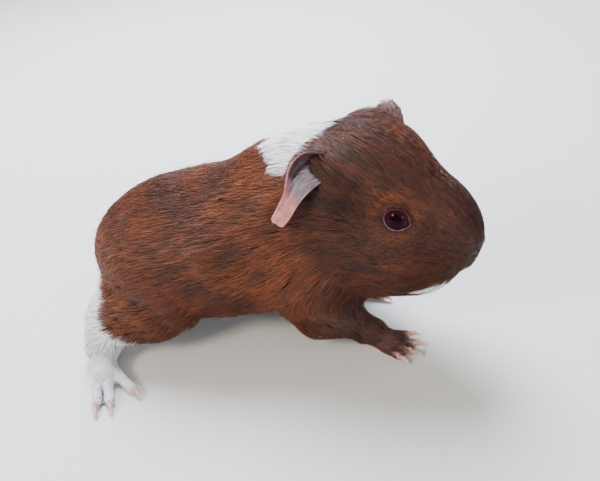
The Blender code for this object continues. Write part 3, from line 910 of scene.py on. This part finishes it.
def add_coat(name, region, chosen, roots, steps):
    """One coat piece from the chosen roots."""
    root, normal, way, length, rise, width = (value[chosen] for value in roots)
    count = len(root)
    swing = RNG.normal(0, SPLAY, count)
    swing += 0.10 * np.sin(root @ (0.55, 0.35, 0.8)) + 0.06 * np.sin(root @ (-0.9, 1.3, 0.4))
    side = np.cross(normal, way)
    way = way * np.cos(swing)[:, None] + side * np.sin(swing)[:, None]
    length = length * RNG.uniform(0.7, 1.15, count)
    fold = folds(root)
    rise = rise * (1 + 0.3 * fold) * RNG.uniform(0.72, 1.08, count)
    rise = rise * np.where(RNG.random(count) < STRAYS, STRAY_RISE, 1)
    line, ups = lay(root, normal, way, length, rise, steps)
    line, lock = gather(line, root)
    grain = 0.11 if region == "head" else 0.075
    tone = RED_TONE + RNG.normal(0, 0.03, lock.max() + 1)[lock] + RNG.normal(0, grain, count)
    # The tone follows the folds, lighter where the coat lifts and darker where it sinks: painted light and
    # shade.
    tone = np.clip(tone + drifts_light_and_shade(root) + streaks(root, region) + 0.10 * fold, 0, 1)
    outer = line[:, -2] * 0.6 + line[:, -1] * 0.4
    white = np.clip(0.5 + 2.2 * (white_share(outer) + RNG.normal(0, 0.08, count) - 0.5), 0, 1)
    width = width * RNG.uniform(0.75, 1.2, count)
    add_tufts(name, line, ups, width, unwrap(root, region), tone=tone, white=white)


def soft_noise(u, v):
    """Smooth noise between -1 and 1 over two measures, one bump to each unit."""
    i, j = np.floor(u).astype(int), np.floor(v).astype(int)
    a, b = ease(u - i, 0, 1), ease(v - j, 0, 1)
    low, high = (blend(NOISE[i % 97, k % 97], NOISE[(i + 1) % 97, k % 97], a) for k in (j, j + 1))
    return blend(low, high, b)


def streaks(p, region):
    """Darker and lighter streaks about a millimetre wide that run with the lie of the hair."""
    b, h = to_body(p), to_head(p) - COAT_SOURCE
    if region == "head":
        across, along = 24 * np.arctan2(h[:, 1], h[:, 2]), far(h)
    else:
        sunk = b[:, 2] - (FALL + 0.55 * fade(b[:, 2], 12, 40)) * (b[:, 0] + 25) - 30
        across, along = 30 * np.arctan2(b[:, 1], sunk), b[:, 0]
    fine, broad = soft_noise(across / 0.8, along / 9), soft_noise(across / 2.6 + 40, along / 16)
    return (0.13 * fine + 0.06 * broad) * (1 if region == "head" else 0.45)


def folds(p):
    """Slow waves where the sleek coat of the body lifts and sinks, slanting forwards and up."""
    x, y, z = to_body(p).T
    high = x * 0.7 + z * 0.7 + 0.3 * y
    return soft_noise((x - 0.8 * z) / 6.5 + 11, high / 17 + 5) * fade(x, 6, 18)


# Dark patches: painted shadow of the ear before it and under it, and a darker cheek: how dark, where in the
# head's axes, and how wide
SHADE_AND_CHEEK_PATCHES = ((0.16, -8, 15, 17, 5), (0.34, -15, 17, 9, 5.5), (0.13, -4, 17, -4, 9))


def drifts_light_and_shade(p):
    """Slow drifts of the red coat: lighter on shoulder, hip, behind the ears and round the eyes, darker on
    the cheeks and on the nose.
    The lighter rump and top of the back are painted light, and the dark before and under the ears is painted
    shadow of the ears."""
    x, y, z = to_body(p).T
    h = to_head(p)
    drift = 0.05 * np.sin(0.21 * x + 0.33 * z + 0.1 * y) + 0.03 * np.sin(0.45 * x - 0.6 * z + 1.0)
    # painted light: the rump is lighter
    drift += 0.27 * hump((x + 60) / 14, (z - 38) / 18)
    # the shoulder is lighter; the top of the back, ease(z, 52, 62), is lighter as painted light
    drift += 0.20 * hump((x - 8) / 12, (z - 36) / 16) + 0.07 * ease(z, 52, 62) * (x < 14)
    drift -= (0.06 + 0.04 * fade(z, 30, 50)) * ease(x, 14, 26)
    drift += 0.10 * hump((x + 48) / 10, (z - 22) / 8)
    drift += 0.14 * hump(far(h - (-24, -14, 14)) / 8)
    drift += 0.26 * hump((to_eyes(p) - 6.5) / 1.7)
    for sign in SIDES.values():
        # painted shadow of the ears, and the darker cheeks
        for depth, ahead, aside, up, wide in SHADE_AND_CHEEK_PATCHES:
            drift -= depth * hump(far(h - (ahead, sign * aside, up)) / wide)
    drift -= 0.12 * hump(far(h - (24, 0, -2)) / 9)
    return drift


def add_coats():
    triangle, weight = sow()
    fields = (POINTS, NORMALS, FLOW, HAIR_LENGTH, HAIR_RISE, HAIR_WIDTH)
    roots = [at_roots(triangle, weight, field) for field in fields]
    roots[1], roots[2] = unit(roots[1]), unit(roots[2])
    shares = [at_roots(triangle, weight, column) for column in SHARES.values()]
    home = np.array(list(SHARES))[np.argmax(shares, axis=0)]
    x, y, _ = to_body(roots[0]).T
    head_x, head_y, head_z = to_head(roots[0]).T
    face, cheeks = (home == "head") & (head_x > 2), (home == "head") & (head_x <= 2)
    trunk = home == "trunk"
    flank = trunk & (x <= -12) & (x > -42)
    pieces = {
        "coat_face_right": ("head", face & (head_y < 0), 2),
        "coat_face_left": ("head", face & (head_y >= 0), 2),
        "coat_cheeks": ("head", cheeks & (head_z < 4), 3),
        "coat_crown": ("head", cheeks & (head_z >= 4), 3),
        "coat_collar": ("body", home == "neck", 3),
        "coat_shoulders": ("body", trunk & (x > -12), 3),
        "coat_flank_right": ("body", flank & (y < 0), 3),
        "coat_flank_left": ("body", flank & (y >= 0), 3),
        "coat_rump": ("body", trunk & (x <= -42), 3),
        "coat_forelegs": ("limbs", home == "foreleg", 3),
        "coat_hindlegs": ("limbs", home == "hindleg", 3),
        "coat_feet": ("limbs", (home == "forefoot") | (home == "hindfoot"), 2),
    }
    for name, (region, chosen, steps) in pieces.items():
        add_coat(name, region, chosen, roots, steps)


# -------- eyes
CORNEA = 0.22  # how far it stands out over the iris


def add_eye(side):
    """An eyeball with its cornea standing out a little over the iris."""
    shape = bmesh.new()
    bmesh.ops.create_uvsphere(shape, u_segments=64, v_segments=48, radius=EYE_RADIUS * MM)
    eyeball = bpy.data.meshes.new(f"eyeball_{side}")
    shape.to_mesh(eyeball)
    shape.free()
    local = points_of(eyeball)
    polar = np.arccos(np.clip(local[:, 2] / EYE_RADIUS, -1, 1))
    local *= 1 + CORNEA / EYE_RADIUS * fade(polar, radians(30), radians(62))[:, None]
    ahead, _, out = eye_axes(side)
    move_points(eyeball, local @ (ahead, np.cross(out, ahead), out) + EYE_MIDDLE[side])
    mark(eyeball, zone=np.clip(polar / radians(60), 0, 1))
    piece(eyeball.name, eyeball, EYE, (f"eye_{side}",))


# -------- ears
def ear_sheet(side, along=64, across=49):
    """The ear's middle surface as a grid from root to tip and from upper to lower edge, with its normals."""
    s, t = np.meshgrid(np.linspace(0, 1, along), np.linspace(-1, 1, across), indexing="ij")
    upper, lower, cup = zip(*EAR_STATIONS[side])
    lines = []
    for line in (np.array(upper), np.array(lower), np.array(cup)[:, None]):
        run = np.stack([np.interp(s[:, 0], EAR_STEPS, column) for column in line.T], 1)
        for _ in range(36):
            run[1:-1] = (run[:-2] + 2 * run[1:-1] + run[2:]) / 4
        lines.append(run[:, None])
    upper, lower, cup = lines
    hollow = (1 - t**2) * (1 - 0.5 * t) - 0.20 * hump((t - 0.12) / 0.16) * fade(s, 0.5, 0.8)
    roll = 0.5 * hump((t + 1) / 0.12) * fade(s, 0.6, 0.9)
    wrinkle = 0.16 * np.sin(20 * s + 5 * t) * (1 - t**2)
    deep = cup[..., 0] * hollow - roll + wrinkle
    narrow = 1 - np.maximum(1 - np.clip((s - 0.95) / 0.05, 0, 1) ** 4, 0) ** 0.25
    rounded = 1 - np.sqrt(np.maximum(1 - np.clip((0.32 - s) / 0.32, 0, 1) ** 2, 0))
    t_in = t * (1 - 0.5 * narrow) * (1 - rounded * (t > 0))
    sheet = blend(upper, lower, ((t_in + 1) / 2)[..., None]) - deep[..., None] * unit(EAR_OPENS)
    grid = from_head(sheet * (1, SIDES[side], 1))
    normal = unit(np.cross(np.gradient(grid, axis=0), np.gradient(grid, axis=1))) * -SIDES[side]
    return s, t, grid, normal


def add_ear(side):
    """A thin cupped petal, rolled at the rim, with a dark hollow that is partly painted shade, a pale lobe
    and a pink edge and tip.
    """
    s, t, grid, normal = ear_sheet(side)
    along, across = s.shape
    edge = np.minimum(np.minimum(1 - t, 1 + t), (1 - s) * 2.2)
    half = EAR_THICK / 2 * (0.8 + 0.5 * hump((edge - 0.07) / 0.06)) * np.where(edge < 0.01, 0.3, 1)
    step = normal * half[..., None]
    points = np.concatenate([grid - step, grid + step]).reshape(-1, 3)
    n = along * across
    index = np.arange(n).reshape(along, across)
    a, b, c, d = (x.ravel() for x in (index[:-1, :-1], index[1:, :-1], index[1:, 1:], index[:-1, 1:]))
    rim = np.concatenate([index[:, 0], index[-1, 1:], index[-2::-1, -1], index[0, -2::-1]])
    ring = np.stack([rim[:-1], rim[:-1] + n, rim[1:] + n, rim[1:]], 1)
    faces = np.concatenate([np.stack([a, b, c, d], 1), n + np.stack([d, c, b, a], 1), ring])
    if side == "right":
        faces = faces[:, ::-1]
    petal = mesh_from(f"ear_petal_{side}", points, faces.tolist())
    rim_share = 1 - ease(1 + t, 0.03, 0.12) * ease(edge, 0.01, 0.05)
    pink = np.maximum(rim_share * ease(s, 0.30, 0.60), ease(s, 0.60, 0.78))
    # The hollow's share: its own darker skin, with painted shade on the upper inner face, which faces down,
    # and at the root.
    hollow = fade(t, -0.15, 0.20) * fade(s, 0.55, 0.72)
    hollow = np.maximum(hollow, 0.8 * fade(s, 0.04, 0.20))
    hollow = np.maximum(hollow, 0.9 * fade(s, 0.15, 0.55) * fade(t, -0.9, -0.6))
    mark(petal, pink=np.tile(pink.ravel(), 2), hollow=np.tile(hollow.ravel(), 2))
    piece(petal.name, petal, EAR_SKIN, (f"ear_{side}",))


def ear_tufts(side, count, s_range, t_range, face, length, lean, rise):
    """Lines of short hairs on one face of an ear, leaning along it towards the tip or to an edge."""
    _, _, grid, normal = ear_sheet(side)
    along, across, _ = grid.shape
    u = RNG.uniform(*s_range, count)
    v = RNG.uniform(*t_range, count)
    row = np.clip((u * (along - 1)).astype(int), 1, along - 2)
    column = np.clip(((v + 1) / 2 * (across - 1)).astype(int), 1, across - 2)
    root = grid[row, column]
    on = normal[row, column] * face
    ahead = unit(grid[row + 1, column] - grid[row - 1, column])
    aside = unit(grid[row, column + 1] - grid[row, column - 1])
    way = unit(ahead + aside * (lean + RNG.normal(0, 0.14, count))[:, None] + on * 0.12)
    reach = length * RNG.uniform(0.7, 1.2, count)
    steps = np.linspace(0, 1, 4)
    up = on * (rise * RNG.uniform(0.6, 1.2, count))[:, None]
    start = root + on * (EAR_THICK / 2 - 0.15)
    line = start[:, None] + way[:, None] * (reach[:, None] * steps)[..., None]
    line = line + up[:, None] * np.sqrt(steps)[:, None]
    place = np.stack([0.02 + 0.46 * u + 0.5 * (side == "left"), 0.02 + 0.96 * (v + 1) / 2], 1)
    return line, np.repeat(on[:, None], 4, 1), place


def add_ear_hairs():
    """Silvery hairs fanned over the lobe inside each ear, and short red fur on its back."""
    # Number, where along and across the ear, face, length, lean and rise; then width, tone and white
    rows = {
        "ear_hairs": ((120, (0.12, 0.55), (0.10, 0.85), 1, 4.2, 0.10, 0.5), 0.09, 0.30, 0.6),
        "ear_backs": ((1900, (0.0, 0.80), (-1, 0.9), -1, 2.6, -0.25, 0.5), 0.15, 0.45, 0.0),
    }
    for name, (way, width, tone, white) in rows.items():
        line, ups, place = (np.concatenate(part) for part in zip(*(ear_tufts(side, *way) for side in SIDES)))
        count = len(line)
        tones = tone + RNG.normal(0, 0.08, count)
        widths = width * RNG.uniform(0.7, 1.2, count)
        add_tufts(name, line, ups, widths, place, tone=tones, white=np.full(count, white))


# -------- claws
CLAW_ROOT = 1.5  # how far a claw's root is drawn back into its toe


def add_claw(name):
    """A claw made smooth and round from its solid, its root drawn back into the toe."""
    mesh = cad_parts[name].data.copy()
    shape = bmesh.new()
    shape.from_mesh(mesh)
    bmesh.ops.remove_doubles(shape, verts=shape.verts, dist=1e-6)
    bmesh.ops.subdivide_edges(shape, edges=shape.edges, cuts=2, smooth=0.4, use_grid_fill=True)
    shape.to_mesh(mesh)
    shape.free()
    mesh.materials.clear()
    points = points_of(mesh)
    way = claw_heading(name)
    reach = points @ way
    along = (reach - reach.min()) / np.ptp(reach)
    root = fade(along, 0, 0.45)
    line = middle(name) + way * ((points - middle(name)) @ way)[:, None] * (1, 1, 0)
    line[:, 2] = points[:, 2]
    thin = 1 - 0.25 * root
    move_points(mesh, line + (points - line) * thin[:, None] - way * CLAW_ROOT * root[:, None])
    piece("nail_" + name[5:], mesh, CLAW_HORN, (name,))
    mark(mesh, along=along)


# -------- whiskers
WHISKER_WIDTH, WHISKER_TONE = 0.11, 0.12


def add_whiskers(rows=4, columns=4, steps=8):
    """Long fine bristles in rows on the muzzle, swept out and back."""
    t = np.linspace(0, 1, steps + 1)[:, None]
    lines, place = [], []
    for sign, row, column in product((-1, 1), range(rows), range(columns)):
        start = from_head([(22.5 - 1.6 * column, sign * 9, -5 - 2.0 * row)])
        root, normal, _ = on_skin(start)
        length = 10 + 2.8 * column - 1.2 * row + RNG.uniform(-2, 2)
        lean = (-0.20 - 0.16 * column, sign * 0.55, 0.18 - 0.20 * row)
        way = unit(normal @ HEAD_AXES.T * 0.9 + lean + RNG.normal(0, 0.12, 3))
        bow = np.array((-0.28, 0, -0.20)) * length
        lines.append(from_head(to_head(root) + way * length * t + bow * t**2))
        place.append((0.5 + sign * (0.1 + 0.1 * column), 0.1 + 0.2 * row))
    line, each = np.array(lines), np.ones(len(lines))
    ups = np.tile((0.0, 0.0, 1.0), (*line.shape[:2], 1))
    marks = {"tone": WHISKER_TONE * each, "white": 0 * each}
    add_tufts("whiskers", line, ups, WHISKER_WIDTH * each, np.array(place), **marks)


# -------- room
FLOOR_RADIUS = 1100


def add_floor():
    turns = np.linspace(0, 2 * pi, 96, endpoint=False)
    edge = np.stack([np.cos(turns), np.sin(turns), 0 * turns], 1) * FLOOR_RADIUS
    board = placed("floor", mesh_from("floor", edge, [range(len(edge))]))
    board.data.materials.append(floor_material())


def add_lamp(name, place, size, watts, colour):
    lamp = bpy.data.lights.new(name, "AREA")
    lamp.shape, lamp.size, lamp.energy, lamp.color = "DISK", size * MM, watts, linear(colour)[:3]
    holder = placed(name, lamp)
    holder.rotation_euler = Vector(CAMERA_AT - place).to_track_quat("-Z", "Y").to_euler()
    holder.location = np.array(place) * MM


def add_lights():
    add_lamp("sky", (-160, 380, 600), 480, 19.0, "#e6eeff")
    add_lamp("window", (-350, -420, 420), 220, 4.0, "#fff3e2")
    add_lamp("fill", (500, -500, 260), 300, 2.0, "#f3f5ff")
    world = bpy.data.worlds.new("studio")
    world.use_nodes = True
    set_shader(world.node_tree.nodes["Background"], Color=linear("#dfe6ee"), Strength=0.68)
    bpy.context.scene.world = world


add_camera()
add_skin()
for side in SIDES:
    add_eye(side)
    add_ear(side)
for claw in CLAWS:
    add_claw(claw)
add_coats()
add_ear_hairs()
add_whiskers()
add_floor()
add_lights()
